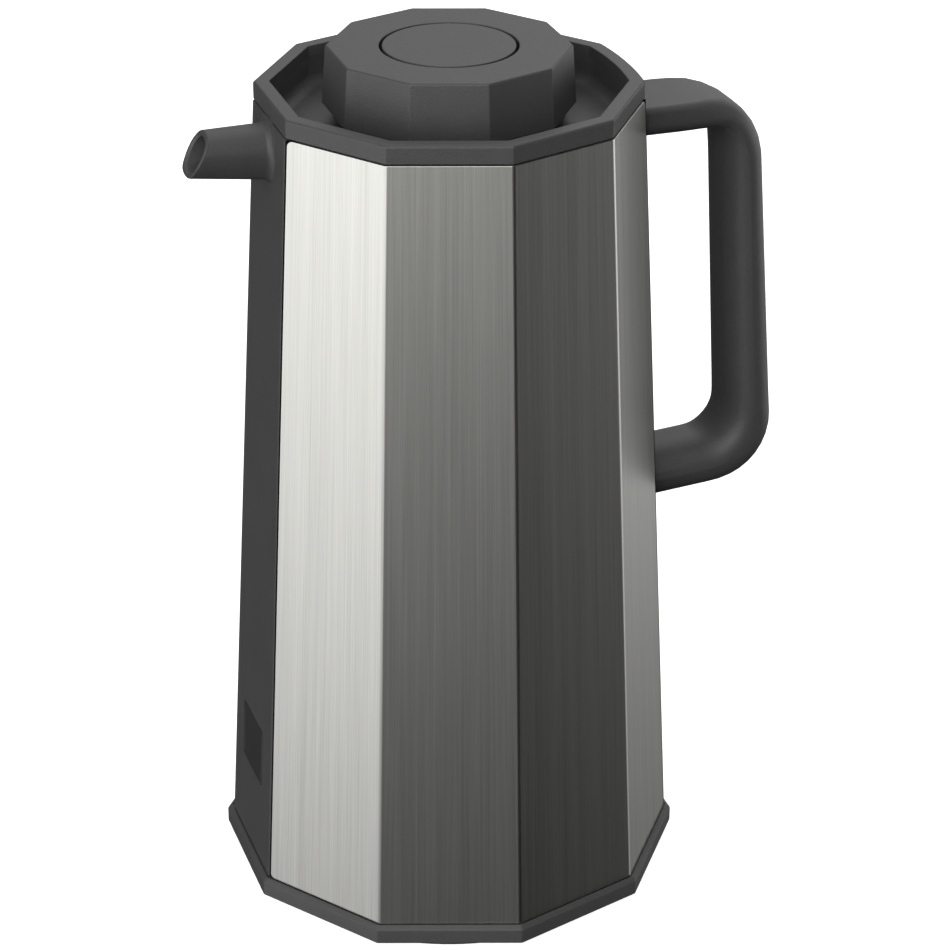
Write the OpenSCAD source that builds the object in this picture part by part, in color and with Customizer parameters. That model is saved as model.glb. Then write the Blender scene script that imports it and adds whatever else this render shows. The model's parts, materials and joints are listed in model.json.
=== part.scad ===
// Ten-sided thermal pouring carafe: a glass vacuum liner in a faceted body, with a
// spout along -X, a handle along +X and a screw-in stopper that pours at a button press.
// The resting plane is z = 0 and the body axis is the Z axis.

/* [Body] */
// Circumscribed radius of the body facets at their lower edge
body_bottom_r = 69.5; // [66:0.5:84]
// Circumscribed radius of the body facets at their upper edge
body_top_r = 56.5; // [55:0.5:66]
// Height of the body facets
body_h = 240; // [200:1:288]
// Thickness of the steel panels
panel_t = 0.6; // [0.4:0.1:1]
// Open joint between a steel panel and the column beside it
panel_joint = 0.8; // [0.4:0.1:1.5]
// Air space between the steel panels and the inner case
panel_space = 0.3; // [0.2:0.1:1]
// Wall of the inner case
case_t = 2; // [1.5:0.1:3]
// Thickness of the front and rear columns
column_t = 3; // [2.4:0.1:4]

/* [Base] */
// How far the base ring stands out beyond the body's lower edge
base_ledge = 2; // [1.5:0.1:4]
// Height of the base ring
base_h = 5.9; // [5:0.1:9]
// Chamfer along the top of the base ring
base_chamfer = 1.2; // [0.6:0.1:2]
// Width of the base ring's outer wall
base_wall = 3.6; // [3:0.1:5]
// Thickness of the base ring's web, which carries the case
base_web = 2.4; // [1.8:0.1:3]
// How far the round bottom cover stands in from the base ring's corners
cover_inset = 5.5; // [5:0.1:10]
// Distance from the table to the base ring
cover_rise = 2.5; // [2:0.1:4]
// Outer radius of the bottom cover's threaded skirt
skirt_r = 57; // [50:0.5:57.5]
// Height of the skirt above the base ring's lower face
skirt_h = 14; // [10:0.5:18]
// Wall of the skirt
skirt_t = 2.5; // [2:0.1:3]
// Depth of the finger pockets under the bottom cover
pocket_depth = 1.2; // [0.8:0.1:1.6]
// Width of the bar between the finger pockets
pocket_bar = 14; // [10:1:20]

/* [Top rim] */
// How far the rim stands in from the body's upper edge
rim_inset = 0.3; // [0:0.1:2]
// Height of the rim
rim_h = 5.7; // [4.5:0.1:8]
// Width of the rim's top face, measured across a facet
rim_w = 4.5; // [3.6:0.1:6]
// Bow of the rim's rear facet
rim_bow = 1.2; // [0:0.1:2]
// Height of the rim's inner lip
rim_lip = 3.2; // [2.5:0.1:4]

/* [Neck tray] */
// Depth of the tray floor below the rim
tray_depth = 11.8; // [9:0.1:14]
// Thickness of the tray floor and its flange
tray_t = 2; // [1.6:0.1:3]
// Width of the stopper well's floor around the flask mouth
well_ledge = 9.5; // [8:0.1:12]
// Depth of the stopper well below the tray floor
well_depth = 16.5; // [15:0.5:22]
// Inside radius of the flask mouth
mouth_r = 21; // [20:0.5:23]
// Height of the pouring duct
duct_h = 7; // [5:0.5:8]
// Width of the pouring duct
duct_w = 12; // [8:0.5:14]
// Wall of the pouring duct
duct_t = 1.5; // [1.2:0.1:2]

/* [Flask] */
// Glass thickness
glass_t = 1.4; // [1:0.1:2]
// Vacuum space between the inner and the outer flask
vacuum_gap = 2.6; // [2:0.1:4]
// Vacuum space at the neck
neck_gap = 1.7; // [1.2:0.1:2.4]
// Clearance between the outer flask and the case at the shoulder
flask_clear = 3; // [2:0.5:8]
// Height of the straight neck
neck_h = 8; // [6:0.5:14]
// Height of the cushion that carries the flask
cushion_h = 12; // [8:0.5:20]

/* [Spout] */
// Reach of the spout beyond the front facet
spout_reach = 21.2; // [12:0.1:30]
// Height of the spout mouth's centre below the top of the body facets
spout_drop = 7.9; // [7:0.1:10]
// Length of the spout mouth along its slanted face
spout_mouth = 13.8; // [10:0.1:16]
// Slant of the spout mouth from the vertical
spout_slant = 27.5; // [10:0.5:40]
// Fall of the spout's centre line from its mouth to its root
spout_fall = 1.4; // [0:0.1:4]
// Height of the spout at its root
spout_root = 16; // [13:0.1:18]
// Width of the spout
spout_w = 14.6; // [13:0.1:18]
// Wall of the spout
spout_t = 1.8; // [1.4:0.1:2.4]

/* [Handle] */
// Distance from the top of the body facets down to the handle's top face
handle_drop = 5; // [4:0.1:9]
// Height of the handle, top face to the lower arm's underside
handle_h = 130; // [105:1:156]
// Finger space between the body and the grip
grip_gap = 28.4; // [23:0.1:36]
// Grip thickness at the top
grip_top_t = 12.4; // [10:0.1:16]
// Grip thickness at the bottom
grip_low_t = 15.1; // [12:0.1:18]
// Width of the grip
grip_w = 24.4; // [20:0.1:30]
// Width of the upper arm
arm_w = 25.8; // [22:0.1:31]
// Thickness of the upper arm
arm_t = 10.3; // [9:0.1:14]
// Thickness of the lower arm
low_arm_t = 15.6; // [12:0.1:18]
// Lean of the grip's inner face from the vertical
grip_lean = 3.2; // [0:0.1:6]
// Rise of the lower arm away from the body
low_arm_rise = 4.4; // [0:0.1:8]
// Radius of the outer upper corner
bend_top_r = 21.5; // [12:0.5:26]
// Radius of the outer lower corner
bend_low_r = 20.5; // [12:0.5:26]

/* [Stopper] */
// How far the knob's lower corners reach beyond the stopper well
knob_over = 6.1; // [5:0.1:10]
// How much narrower the knob is at its top face, at the corners
knob_taper = 1.2; // [0:0.1:4]
// Height of the knob
knob_h = 17.5; // [15:0.1:22]
// Gap between the tray floor and the knob
knob_gap = 5; // [4.5:0.1:8]
// Wall of the knob and of the stopper body
knob_t = 2.2; // [1.8:0.1:3]
// Radius of the push button
button_r = 19.2; // [14:0.1:22]
// Gap round the push button
button_gap = 0.8; // [0.3:0.1:1.2]
// Travel of the push button
button_travel = 6; // [4:0.5:7]
// Radius of the valve stem
stem_r = 3; // [2.5:0.1:4]
// Length of the tube below the stopper's flange
plug_tube = 16; // [12:0.5:22]
// Radius of the hole in the valve seat
seat_hole_r = 10.5; // [8:0.5:12]
// Radius of the spring's wire
wire_r = 0.6; // [0.4:0.1:0.9]
// Mean radius of the spring
spring_r = 9; // [7:0.5:12]
// Turns of the spring
spring_turns = 5; // [3:0.5:7]

/* [Badge] */
// Width of the blank badge plate
badge_w = 21.5; // [12:0.5:26]
// Height of the blank badge plate
badge_h = 19; // [10:0.5:26]
// Height of the badge plate's centre above the base ring
badge_z = 42; // [24:1:60]

/* [Hidden] */
$fn = 96;

sides = 10;
half_side = 180 / sides;
far = 400;
eps = 0.01;
fit = 0.2;
slip = 0.05;

// Radii that follow from the body and from the flask mouth
base_r = body_bottom_r + base_ledge;
cover_r = base_r - cover_inset;
rim_r = body_top_r - rim_inset;
well_r = mouth_r + well_ledge;
knob_low_r = well_r + knob_over;
knob_top_r = knob_low_r - knob_taper;

// Heights of the main faces
base_z = cover_rise;
body_z = base_z + base_h;
top_z = body_z + body_h;
rim_z = top_z + rim_h;
floor_z = rim_z - tray_depth;
well_z = floor_z - well_depth;
gasket_t = 3;
seat_t = 2;
lip_z = well_z - seat_t - gasket_t;

// Facet geometry of the tapered body
function across(d) = d / cos(half_side);
function body_r(z) = body_bottom_r + (body_top_r - body_bottom_r) * (z - body_z) / body_h;
function facet_x(z) = body_r(z) * cos(half_side);
function facet_half_w(z) = body_r(z) * sin(half_side);
taper = atan((facet_x(body_z) - facet_x(top_z)) / body_h);
case_depth = panel_t + panel_space;
case_front_depth = column_t + fit;
flange_z = top_z - tray_t;
duct_drop = 0.5;

// Ten-sided block between two heights, with its facets square to X
module decagon(r0, r1, z0, z1) {
  translate([0, 0, z0])
    rotate([0, 0, half_side])
      cylinder(r1 = r0, r2 = r1, h = z1 - z0, $fn = sides);
}

// Body-shaped block whose facets lie a depth inside the outer ones
module body_block(depth, z0, z1) {
  decagon(body_r(z0) - across(depth), body_r(z1) - across(depth), z0, z1);
}

// Everything between two planes that lie a depth inside the front and rear facets
module between_facets(depth, z0, z1) {
  x0 = facet_x(z0) - depth;
  x1 = facet_x(z1) - depth;
  rotate([90, 0, 0])
    linear_extrude(height = far, center = true)
      polygon([[-x0, z0], [x0, z0], [x1, z1], [-x1, z1]]);
}

// The strip along X that the front and rear facets fill, widened by a margin
module facet_strip(margin, z0, z1) {
  y0 = facet_half_w(z0) + margin;
  y1 = facet_half_w(z1) + margin;
  rotate([90, 0, 90])
    linear_extrude(height = far, center = true)
      polygon([[-y0, z0], [y0, z0], [y1, z1], [-y1, z1]]);
}

// Half of the space on one side of a plane through the axis
module half_space(angle) {
  rotate([0, 0, angle])
    translate([0, -far / 2, -far / 2])
      cube([far, far, 2 * far]);
}

module tube(r_out, r_in, z0, z1) {
  translate([0, 0, z0])
    difference() {
      cylinder(r = r_out, h = z1 - z0);
      translate([0, 0, -eps])
        cylinder(r = r_in, h = z1 - z0 + 2 * eps);
    }
}

// Closed skin over rings of points that all have the same count
module loft(rings) {
  n = len(rings);
  m = len(rings[0]);
  points = [for (ring = rings) for (p = ring) p];
  walls = [
    for (i = [0 : n - 2]) for (j = [0 : m - 1])
      let (a = i * m + j, b = i * m + (j + 1) % m)
        each [[a, b, b + m], [a, b + m, a + m]]
  ];
  low_cap = [[for (j = [m - 1 : -1 : 0]) j]];
  high_cap = [[for (j = [0 : m - 1]) (n - 1) * m + j]];
  polyhedron(points, concat(walls, low_cap, high_cap), convexity = 6);
}

// ---- Base ----

collar_gap = 0.4;
collar_in_r = skirt_r + collar_gap;
over_cut = 1;

// The material that a 45 degree chamfer takes off one facet of the base ring
module facet_chamfer() {
  x = base_r * cos(half_side);
  c = base_chamfer;
  rotate([90, 0, 0])
    linear_extrude(height = far, center = true)
      polygon([
        [x - c, body_z], [x + over_cut, body_z - c - over_cut],
        [x + over_cut, body_z + over_cut], [x - c, body_z + over_cut]
      ]);
}

module base_ring() {
  collar_top = base_z + skirt_h;
  collar_out_r = case_inner_x(collar_top) - fit;
  groove_out_r = base_r * cos(half_side) - base_wall;
  color("#3b3b3b")
    difference() {
      union() {
        difference() {
          decagon(base_r, base_r, base_z, body_z);
          for (k = [0 : sides - 1])
            rotate([0, 0, 2 * half_side * k])
              facet_chamfer();
        }
        translate([0, 0, base_z])
          cylinder(r = collar_out_r, h = skirt_h);
      }
      translate([0, 0, base_z - over_cut])
        cylinder(r = collar_in_r, h = skirt_h + 2 * over_cut);
      tube(groove_out_r, collar_out_r, base_z - over_cut, body_z - base_web);
    }
}

cover_t = 2.4;
cover_floor_z = pocket_depth + cover_t;
cover_edge = 1;

module bottom_cover() {
  pocket_r = skirt_r - 2 * skirt_t;
  color("#363636")
    difference() {
      rotate_extrude()
        polygon([
          [0, 0], [cover_r - cover_edge, 0], [cover_r, cover_edge], [cover_r, base_z],
          [skirt_r, base_z], [skirt_r, base_z + skirt_h],
          [skirt_r - skirt_t, base_z + skirt_h], [skirt_r - skirt_t, cover_floor_z],
          [0, cover_floor_z]
        ]);
      for (side = [0, 180])
        rotate([0, 0, side])
          intersection() {
            translate([0, 0, -eps])
              cylinder(r = pocket_r, h = pocket_depth + eps);
            translate([-far / 2, pocket_bar / 2, -eps])
              cube([far, far, far]);
          }
    }
}

// ---- Flask ----

neck_out_r = mouth_r + 2 * glass_t + neck_gap;
shoulder_turn = 65;
shoulder_arc = 26;
neck_arc = 6;
foot_arc = 16;
flask_z = cover_floor_z + cushion_h;

// Height from the start of the shoulder to the straight neck
function shoulder_h(r) =
  let (
    x1 = r - shoulder_arc + shoulder_arc * cos(shoulder_turn),
    x2 = neck_out_r + neck_arc - neck_arc * cos(shoulder_turn)
  )
  shoulder_arc * sin(shoulder_turn) + (x1 - x2) / tan(shoulder_turn)
  + neck_arc * sin(shoulder_turn);

// The flask swells to the case's inner wall, less its clearance, at the shoulder
function case_inner_x(z) = facet_x(z) - case_front_depth - case_t;
shoulder_guess_z = lip_z - neck_h - shoulder_h(case_inner_x(lip_z));
flask_r = min(
  case_inner_x(shoulder_guess_z) - flask_clear,
  skirt_r - skirt_t - flask_clear
);
shoulder_z = lip_z - neck_h - shoulder_h(flask_r);
neck_z = lip_z - neck_h;

// Half outline of a flask, a depth inside the outer flask's face, up to a height
function flask_outline(depth, neck, z_end) =
  let (
    r = flask_r - depth,
    foot = foot_arc - depth,
    arc_r = shoulder_arc - depth,
    cx = r - arc_r,
    nr = neck_arc + (neck_out_r - neck),
    steps = 10
  )
  concat(
    [[0, flask_z + depth]],
    [for (k = [0 : steps]) let (a = -90 + 90 * k / steps)
      [r - foot + foot * cos(a), flask_z + depth + foot + foot * sin(a)]],
    [for (k = [0 : steps]) let (a = shoulder_turn * k / steps)
      [cx + arc_r * cos(a), shoulder_z + arc_r * sin(a)]],
    [for (k = [0 : steps]) let (a = shoulder_turn * (1 - k / steps))
      [neck + nr - nr * cos(a), neck_z - nr * sin(a)]],
    [[neck, z_end], [0, z_end]]
  );

module flask_wall(depth, neck, z_end, open_top) {
  rotate_extrude()
    difference() {
      polygon(flask_outline(depth, neck, z_end));
      polygon(flask_outline(depth + glass_t, neck - glass_t, z_end + open_top));
    }
}

neck_mid_r = mouth_r + glass_t;
inner_depth = glass_t + vacuum_gap;

module flask_inner() {
  color("#c9d3d6", 0.5)
    union() {
      flask_wall(inner_depth, neck_mid_r, lip_z, eps);
      tube(neck_out_r, neck_mid_r, lip_z - glass_t, lip_z);
    }
}

tip_r = 4;

module flask_outer() {
  color("#b8c0c4", 0.5)
    difference() {
      flask_wall(0, neck_out_r, lip_z - glass_t, eps);
      translate([0, 0, flask_z - eps])
        cylinder(r = tip_r + slip, h = glass_t + 2 * eps);
    }
}

// The sealed tip left where the air was drawn out
module flask_tip() {
  tip_h = 7;
  tip_end = 1;
  tip_shoulder = 2;
  color("#b8c0c4", 0.6)
    rotate_extrude()
      polygon([
        [0, flask_z - tip_h], [tip_r / 3, flask_z - tip_h + tip_end],
        [tip_r * 0.7, flask_z - tip_shoulder], [tip_r, flask_z], [tip_r, flask_z + glass_t],
        [0, flask_z + glass_t]
      ]);
}

// Three pads that hold the two flasks apart
module flask_spacers() {
  pad_angle = 10;
  pad_h = 9;
  pad_z = shoulder_z - 2 * pad_h;
  color("#e6e2d8")
    for (a = [30, 150, 270])
      rotate([0, 0, a])
        rotate_extrude(angle = pad_angle)
          translate([flask_r - inner_depth + slip, pad_z])
            square([vacuum_gap - 2 * slip, pad_h]);
}

module liner_cushion() {
  lean = 4;
  cushion_out = flask_r - foot_arc + lean;
  cushion_in = 14;
  color("#2e2e2e")
    rotate_extrude()
      polygon([
        [cushion_in, cover_floor_z], [cushion_out + lean, cover_floor_z],
        [cushion_out + lean, cover_floor_z + cushion_h / 3],
        [cushion_out - lean, flask_z], [cushion_in, flask_z]
      ]);
}

// ---- Body ----

screw_r = 2;
screw_head_r = 3.2;
screw_head_t = 2.2;
screw_hole_r = screw_r + fit;
screw_room = 0.4;
// The case wall leans with the body's taper, so a head clears it by its own radius
screw_seat_gap = slip + screw_head_r * tan(taper);
column_screw_foot = 14;
column_screw_bite = 1.7;
arm_mid_z = top_z - handle_drop - arm_t / 2;
low_root_z = top_z - handle_drop - handle_h + low_arm_t / 2;
handle_screw_z = [
  min(arm_mid_z, floor_z - tray_t - screw_head_r - screw_room),
  low_root_z
];
column_screw_z = [body_z + column_screw_foot, body_z + body_h / 3];
duct_top_z = floor_z - tray_t - duct_drop;
duct_z = duct_top_z - duct_h / 2;
window_fit = 0.4;

// Room for the neck tray's wall and floor behind the case and the columns
module tray_pocket() {
  bowed_block(tray_out_r + tray_gap, floor_z - tray_t - tray_gap, top_z + over_cut);
}

// Places a screw's axis square to a facet, from the case's inner face outwards
module on_facet(side, z, depth) {
  rotate([0, 0, side < 0 ? 180 : 0])
    translate([facet_x(z) - depth, 0, z])
      rotate([0, 90, 0])
        children();
}

module screw_holes() {
  reach = case_front_depth + case_t + over_cut;
  for (z = handle_screw_z)
    on_facet(1, z, reach)
      cylinder(r = screw_hole_r, h = reach + over_cut);
  for (z = column_screw_z)
    on_facet(-1, z, reach)
      cylinder(r = screw_hole_r, h = reach);
}

module body_case() {
  color("#454545")
    difference() {
      intersection() {
        body_block(case_depth, body_z, flange_z);
        between_facets(case_front_depth, body_z, flange_z);
      }
      intersection() {
        body_block(case_depth + case_t, body_z, flange_z);
        between_facets(case_front_depth + case_t, body_z, flange_z);
      }
      tray_pocket();
      screw_holes();
      translate([-far, -duct_w / 2 - duct_t - window_fit, duct_z - duct_h / 2 - duct_t - window_fit])
        cube([far, duct_w + 2 * (duct_t + window_fit), far]);
    }
}

module steel_panel(side) {
  // The joint runs along the neighbouring facet, so its width across Y is shorter
  joint_y = panel_joint * cos(2 * half_side);
  color("#bfbdb8")
    intersection() {
      difference() {
        body_block(0, body_z, top_z);
        body_block(panel_t, body_z - eps, top_z + eps);
        facet_strip(joint_y, body_z - eps, top_z + eps);
      }
      half_space(side * 90);
    }
}

module steel_panel_left() {
  steel_panel(-1);
}

module steel_panel_right() {
  steel_panel(1);
}

module column_block() {
  intersection() {
    body_block(0, body_z, top_z);
    facet_strip(0, body_z, top_z);
  }
}

// Outline of the spout: a rounded eight-sided form, narrower at top and bottom
function spout_outline(w, h) = [
  [-0.29 * w, h / 2], [0.29 * w, h / 2], [0.48 * w, 0.2 * h], [w / 2, 0],
  [0.46 * w, -0.24 * h], [0.31 * w, -h / 2], [-0.31 * w, -h / 2], [-0.46 * w, -0.24 * h],
  [-w / 2, 0], [-0.48 * w, 0.2 * h]
];

spout_mouth_z = top_z - spout_drop;
spout_root_z = spout_mouth_z - spout_fall;
spout_mouth_x = facet_x(spout_mouth_z) + spout_reach;
spout_round = 2.6;
spout_plate = 1;

// One end of the spout, as a plate that stands outwards from its plane
module spout_end(x, z, slant, w, h) {
  translate([-x, 0, z])
    rotate([0, slant, 0])
      rotate([90, 0, -90])
        linear_extrude(height = spout_plate)
          offset(r = spout_round, $fn = 32)
            offset(delta = -spout_round)
              polygon(spout_outline(w, h));
}

module spout_solid(inset, root_x) {
  hull() {
    spout_end(root_x, spout_root_z, 0, spout_w - 2 * inset, spout_root - 2 * inset);
    spout_end(spout_mouth_x, spout_mouth_z, spout_slant, spout_w - 2 * inset,
      spout_mouth - 2 * inset);
  }
}

// Everything beyond the slanted plane of the mouth
module beyond_mouth() {
  translate([-spout_mouth_x, 0, spout_mouth_z])
    rotate([0, spout_slant, 0])
      translate([-far, -far / 2, -far / 2])
        cube([far, far, far]);
}

sleeve_t = 1;
sleeve_in = 5;
sleeve_out = 2;

// Block that fills the duct's cross-section between two distances in front of the axis
module duct_block(margin, x0, x1) {
  translate([-x1, -duct_w / 2 - margin, duct_z - duct_h / 2 - margin])
    cube([x1 - x0, duct_w + 2 * margin, duct_h + 2 * margin]);
}

column_back_x = facet_x(duct_top_z + duct_t) - column_t;
duct_end_x = column_back_x - fit;

badge_t = 1;
badge_proud = 0.3;
badge_centre_z = base_z + badge_z;

module badge_block(w, h, depth, proud) {
  translate([-facet_x(badge_centre_z), 0, badge_centre_z])
    rotate([0, taper, 0])
      translate([-proud, -w / 2, -h / 2])
        cube([depth + proud, w, h]);
}

module front_column() {
  root_x = facet_x(spout_root_z) - column_t / 2;
  color("#404040")
    difference() {
      union() {
        intersection() {
          column_block();
          half_space(180);
        }
        difference() {
          spout_solid(0, root_x);
          beyond_mouth();
        }
      }
      between_facets(column_t, body_z - over_cut, top_z + over_cut);
      tray_pocket();
      spout_solid(spout_t, column_back_x + sleeve_out);
      duct_block(0, 0, column_back_x + sleeve_out + spout_plate);
      badge_block(badge_w, badge_h, badge_t, far);
      for (z = column_screw_z)
        on_facet(-1, z, column_t + over_cut)
          cylinder(r = screw_r + slip, h = over_cut + column_screw_bite + slip);
    }
}

module badge_plate() {
  frame_w = 1;
  color("#2f2f2f")
    difference() {
      badge_block(badge_w - 2 * slip, badge_h - 2 * slip, badge_t, badge_proud);
      badge_block(badge_w - 2 * frame_w, badge_h - 2 * frame_w, -slip, far);
    }
}

module rear_column() {
  color("#404040")
    difference() {
      intersection() {
        column_block();
        half_space(0);
      }
      between_facets(column_t, body_z - over_cut, top_z + over_cut);
      tray_pocket();
      screw_holes();
    }
}

// ---- Handle ----

handle_top_z = top_z - handle_drop;
arm_low_z = handle_top_z - arm_t;
grip_in_x = facet_x(arm_low_z) + grip_gap;
low_face_x = facet_x(handle_top_z - handle_h);
root_depth = 4;
bend_in_top_r = 3;
bend_in_low_r = 9.8;
bend_run = 6;
bend_fall = 16;
bend_back = 4;
edge_r = 1.8;
bend_steps = 13;
grip_steps = 5;

// The two faces of the grip and of the lower arm, as lines in the XZ plane
function grip_x(z, outer) =
  let (drop = arm_low_z - z, span = handle_h - arm_t - low_arm_t)
  grip_in_x + drop * tan(grip_lean)
  + (outer ? grip_top_t + (grip_low_t - grip_top_t) * drop / span : 0);
function low_arm_z(x, outer) =
  handle_top_z - handle_h + (x - low_face_x) * tan(low_arm_rise) + (outer ? 0 : low_arm_t);

// Where the grip's line meets the lower arm's line
function low_corner(outer, z, steps) =
  steps == 0 ? [grip_x(z, outer), z] : low_corner(outer, low_arm_z(grip_x(z, outer), outer), steps - 1);

// Points along a straight run, an arc of radius r round a corner and a second straight run
function bend(start, corner, end, r, n) =
  let (
    d0 = (corner - start) / norm(corner - start),
    d1 = (end - corner) / norm(end - corner),
    turn = acos(d0 * d1),
    t0 = corner - d0 * r * tan(turn / 2),
    t1 = corner + d1 * r * tan(turn / 2),
    across_dir = d1 - d0 * (d0 * d1),
    side = across_dir / norm(across_dir),
    mid = t0 + side * r,
    run0 = norm(t0 - start),
    run1 = r * turn * PI / 180,
    run2 = norm(end - t1)
  )
  [
    for (k = [0 : n - 1])
      let (q = (run0 + run1 + run2) * k / (n - 1), a = (q - run0) / r * 180 / PI)
        q <= run0 ? start + d0 * q
        : q <= run0 + run1 ? mid - side * r * cos(a) + d0 * r * sin(a)
        : t1 + d1 * (q - run0 - run1)
  ];

function between(a, b, n) = [for (k = [1 : n - 1]) a + (b - a) * k / n];

// One edge of the handle's side view, from the upper root to the lower root
function handle_edge(outer) =
  let (
    arm_z = outer ? handle_top_z : arm_low_z,
    turn_x = grip_in_x + grip_top_t - bend_top_r - bend_run,
    turn_z = handle_top_z - bend_top_r - bend_fall,
    back_z = handle_top_z - handle_h + low_arm_t + bend_in_low_r + bend_run,
    back_x = grip_in_x - bend_back,
    upper = bend([turn_x, arm_z], [grip_x(arm_z, outer), arm_z], [grip_x(turn_z, outer), turn_z],
      outer ? bend_top_r : bend_in_top_r, bend_steps),
    lower = bend([grip_x(back_z, outer), back_z], low_corner(outer, back_z, 12),
      [back_x, low_arm_z(back_x, outer)], outer ? bend_low_r : bend_in_low_r, bend_steps)
  )
  concat(
    [[facet_x(handle_top_z) - root_depth, arm_z]],
    upper,
    between(upper[bend_steps - 1], lower[0], grip_steps),
    lower,
    [[low_face_x - root_depth, low_arm_z(low_face_x - root_depth, outer)]]
  );

// Quarter of a rounded corner in a section, as offsets across Y and in depth
function corner(y, d, ry, rd, a0) =
  [for (k = [0 : 6]) let (a = a0 + 90 * k / 6) [y + ry * cos(a), d + rd * sin(a)]];

function ease(u) = let (v = min(1, max(0, u))) v * v * (3 - 2 * v);

// One section of the handle: crisp outer edges on the arm, round ones on the grip
function handle_section(p, q, k_round, k_low) =
  let (
    depth = norm(q - p),
    dir = (q - p) / depth,
    hw = (arm_w + (grip_w - arm_w) * k_round) / 2,
    oy = edge_r + (9 - edge_r) * k_round,
    od = min(edge_r + (7 - edge_r) * k_round + k_low, 0.49 * depth),
    iy = 8 + 1.5 * k_round,
    id = min(5.2 + 2 * k_round + k_low, 0.49 * depth),
    flat = concat(
      corner(hw - oy, od, oy, od, -90), corner(hw - iy, depth - id, iy, id, 0),
      corner(iy - hw, depth - id, iy, id, 90), corner(oy - hw, od, oy, od, 180)
    )
  )
  [for (s = flat) let (c = p + dir * s[1]) [c[0], s[0], c[1]]];

function handle_rings() =
  let (outer = handle_edge(true), inner = handle_edge(false), n = len(outer))
  [
    for (i = [0 : n - 1])
      handle_section(outer[i], inner[i], ease((i - 1) / (0.45 * bend_steps)),
        ease((i - bend_steps - grip_steps) / bend_steps))
  ];

module handle() {
  color("#3e3e3e")
    difference() {
      loft(handle_rings());
      body_block(0, body_z, top_z);
      for (z = handle_screw_z)
        on_facet(1, z, over_cut)
          cylinder(r = screw_r + slip, h = over_cut + screw_grip + slip);
    }
}

screw_grip = 12;

// Pan-head screw with its head below z = 0 and its shank above
module pan_screw(head_r, head_t, r, length) {
  rotate_extrude()
    polygon([
      [0, -head_t], [head_r * 0.7, -head_t], [head_r, -head_t * 0.5], [head_r, 0],
      [r, 0], [r, length - r / 2], [r / 2, length], [0, length]
    ]);
}

module handle_screws() {
  depth = case_front_depth + case_t + screw_seat_gap;
  color("#8d8d8d")
    for (z = handle_screw_z)
      on_facet(1, z, depth)
        pan_screw(screw_head_r, screw_head_t, screw_r, depth + screw_grip);
}

module column_screws() {
  depth = case_front_depth + case_t + screw_seat_gap;
  color("#8d8d8d")
    for (z = column_screw_z)
      on_facet(-1, z, depth)
        pan_screw(screw_head_r, screw_head_t, screw_r, depth - column_t + column_screw_bite);
}

// ---- Rim and tray ----

tray_gap = 0.2;
lip_r = rim_r - across(rim_w);
tray_wall_t = 1.7;
tray_out_r = lip_r + across(tray_wall_t);
well_collar_gap = 2;
well_mouth_gap = 0.5;
well_collar_r = neck_out_r + well_collar_gap;

// Ten-sided block whose rear facet is bowed outwards
module bowed_block(r, z0, z1) {
  half_w = r * sin(half_side);
  bow_steps = 8;
  bow = [
    for (k = [1 : bow_steps - 1])
      let (u = 2 * k / bow_steps - 1)
        [r * cos(half_side) + rim_bow * (1 - u * u), u * half_w]
  ];
  facets = [
    for (k = [0 : sides - 1])
      let (a = half_side + 2 * half_side * k)
        [r * cos(a), r * sin(a)]
  ];
  translate([0, 0, z0])
    linear_extrude(height = z1 - z0)
      polygon(concat(facets, bow));
}

module rim() {
  color("#4a4a4a")
    difference() {
      bowed_block(rim_r, top_z, rim_z);
      bowed_block(lip_r, top_z - eps, rim_z + eps);
      bowed_block(tray_out_r + tray_gap, top_z - eps, rim_z - rim_lip);
    }
}

module neck_tray() {
  wall_top = rim_z - rim_lip;
  under_z = floor_z - tray_t;
  well_out_r = well_r + tray_t;
  color("#414141")
    difference() {
      union() {
        difference() {
          union() {
            bowed_block(tray_out_r, under_z, wall_top);
            intersection() {
              body_block(case_depth, flange_z, top_z);
              between_facets(case_front_depth, flange_z, top_z);
            }
          }
          bowed_block(lip_r, floor_z, wall_top + eps);
        }
        translate([0, 0, well_z - seat_t])
          cylinder(r = well_out_r, h = floor_z - well_z + seat_t);
        tube(well_collar_r + tray_t, well_collar_r, lip_z - neck_h / 2, well_z - seat_t + eps);
        duct_block(duct_t, well_r, duct_end_x);
      }
      translate([0, 0, well_z])
        cylinder(r = well_r, h = far);
      translate([0, 0, well_z - seat_t - eps])
        cylinder(r = mouth_r + well_mouth_gap, h = far);
      duct_block(0, 0, far);
    }
}

// Soft sleeve that seals the duct to the spout
module spout_sleeve() {
  x0 = duct_end_x - sleeve_in;
  x1 = column_back_x + sleeve_out;
  color("#6b6b6b")
    difference() {
      duct_block(-slip, x0, x1);
      duct_block(-sleeve_t, x0 - over_cut, x1 + over_cut);
    }
}

module mouth_gasket() {
  seal_gap = 0.1;
  inner = mouth_r + fit;
  outer = well_collar_r - seal_gap;
  color("#8f8b84")
    rotate_extrude()
      polygon([
        [inner, lip_z], [neck_out_r + seal_gap, lip_z],
        [neck_out_r + seal_gap, lip_z - neck_h / 2], [outer, lip_z - neck_h / 2],
        [outer, well_z - seat_t], [inner, well_z - seat_t]
      ]);
}

// ---- Stopper ----

stopper_gasket_t = 2.5;
stopper_gasket_in = 0.8;
stopper_gasket_out = 2.5;
plug_flange_z = well_z + stopper_gasket_t;
plug_flange_t = 2;
plug_gap = 1.7;
thread_gap = 0.9;
plug_r = mouth_r - plug_gap;
body_out_r = well_r - thread_gap;
knob_z = floor_z + knob_gap;
knob_top_z = knob_z + knob_h;
deck_t = 2;
deck_drop = 4.5;
deck_z = knob_z - deck_drop;
seat_face_z = plug_flange_z - plug_tube;
stem_hub_t = 2;
stem_hub_r = stem_r + stem_hub_t;
cap_flange_r = knob_low_r * cos(half_side) - knob_t / 2;

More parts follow.
